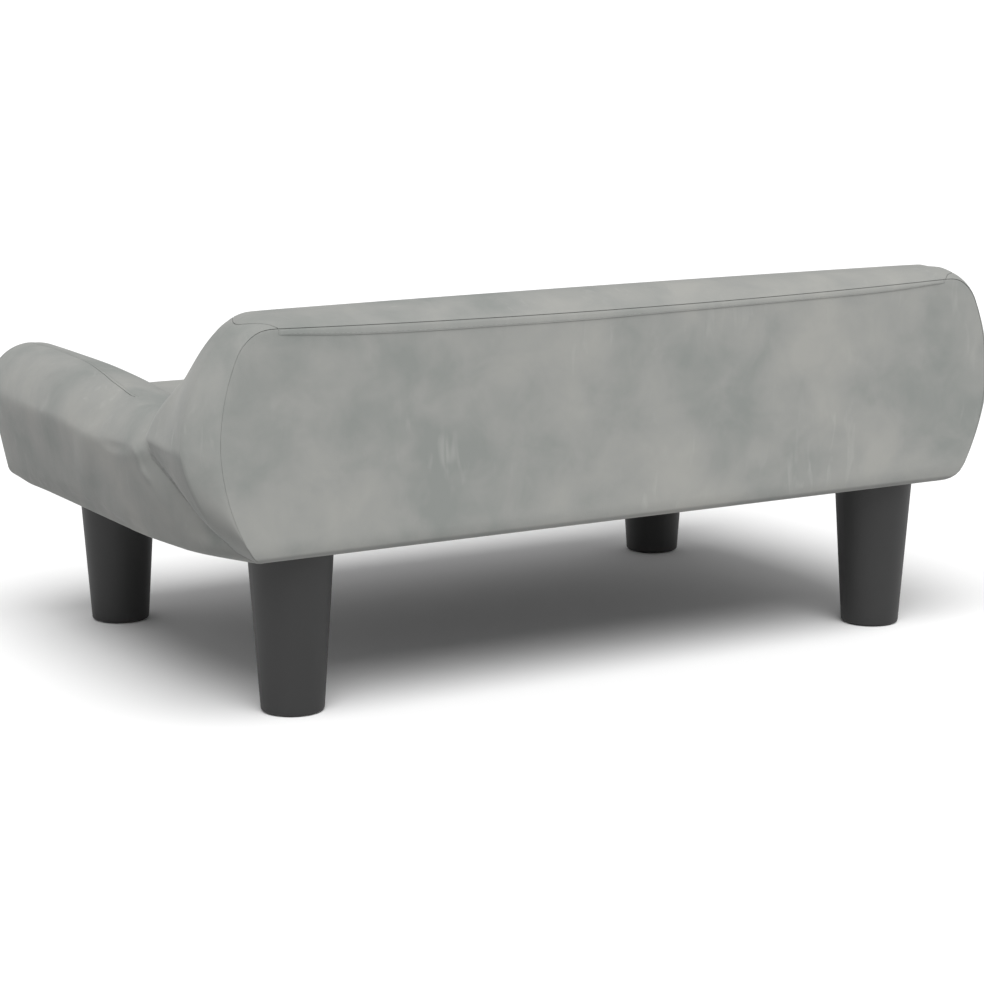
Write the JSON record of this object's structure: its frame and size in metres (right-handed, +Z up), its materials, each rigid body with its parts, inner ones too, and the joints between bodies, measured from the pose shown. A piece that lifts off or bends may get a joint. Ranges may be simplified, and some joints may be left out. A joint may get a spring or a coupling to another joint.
{
  "type": "dog bed",
  "caption": "Low upholstered dog bed like a small sofa: boat-shaped padded back, rolled arms, padded seat, velvet cover and tapered plastic legs.",
  "frame": {"origin": "centre of the overall footprint, on the floor under the legs", "axes": "+X along the bed, +Y from the open front to the back, +Z up"},
  "size_m": [0.7, 0.406, 0.287],
  "materials": {
    "velvet": "short-pile polyester velvet, light grey",
    "foam": "open-cell polyurethane foam",
    "wadding": "polyester wadding",
    "dust_cloth": "black spun-bonded non-woven",
    "leg_plastic": "matt black moulded plastic",
    "glide_plastic": "black moulded glide",
    "plywood": "birch plywood, unfinished",
    "pine": "sawn pine, unfinished",
    "zinc_steel": "zinc-plated steel"
  },
  "bodies": {
    "root": {"arm_cover_left": "velvet", "arm_cover_right": "velvet", "arm_foam_left": "foam", "arm_foam_right": "foam", "arm_front_panel_left": "velvet", "arm_front_panel_right": "velvet", "arm_rib_front_left": "plywood", "arm_rib_front_right": "plywood", "arm_rib_rear_left": "plywood", "arm_rib_rear_right": "plywood", "arm_side_rail_left": "pine", "arm_side_rail_right": "pine", "arm_top_rail_left": "pine", "arm_top_rail_right": "pine", "back_band": "velvet", "back_board": "plywood", "back_foam": "foam", "back_rib_centre": "plywood", "back_rib_left": "plywood", "back_rib_right": "plywood", "back_top_rail": "pine", "back_wadding": "wadding", "centre_batten": "pine", "corner_block_front_left": "pine", "corner_block_front_right": "pine", "corner_block_rear_left": "pine", "corner_block_rear_right": "pine", "dust_cover": "dust_cloth", "dust_cover_staples": "zinc_steel", "end_rail_left": "pine", "end_rail_right": "pine", "frame_screws": "zinc_steel", "front_rail": "pine", "inner_back_cover": "velvet", "leg_bolts": "zinc_steel", "leg_front_left": "leg_plastic", "leg_front_right": "leg_plastic", "leg_glide_front_left": "glide_plastic", "leg_glide_front_right": "glide_plastic", "leg_glide_rear_left": "glide_plastic", "leg_glide_rear_right": "glide_plastic", "leg_rear_left": "leg_plastic", "leg_rear_right": "leg_plastic", "outer_back_panel": "velvet", "rear_rail": "pine", "seat_cover": "velvet", "seat_deck": "plywood", "seat_foam": "foam", "tee_nuts": "zinc_steel", "top_welt": "velvet"}
  },
  "joints": []
}
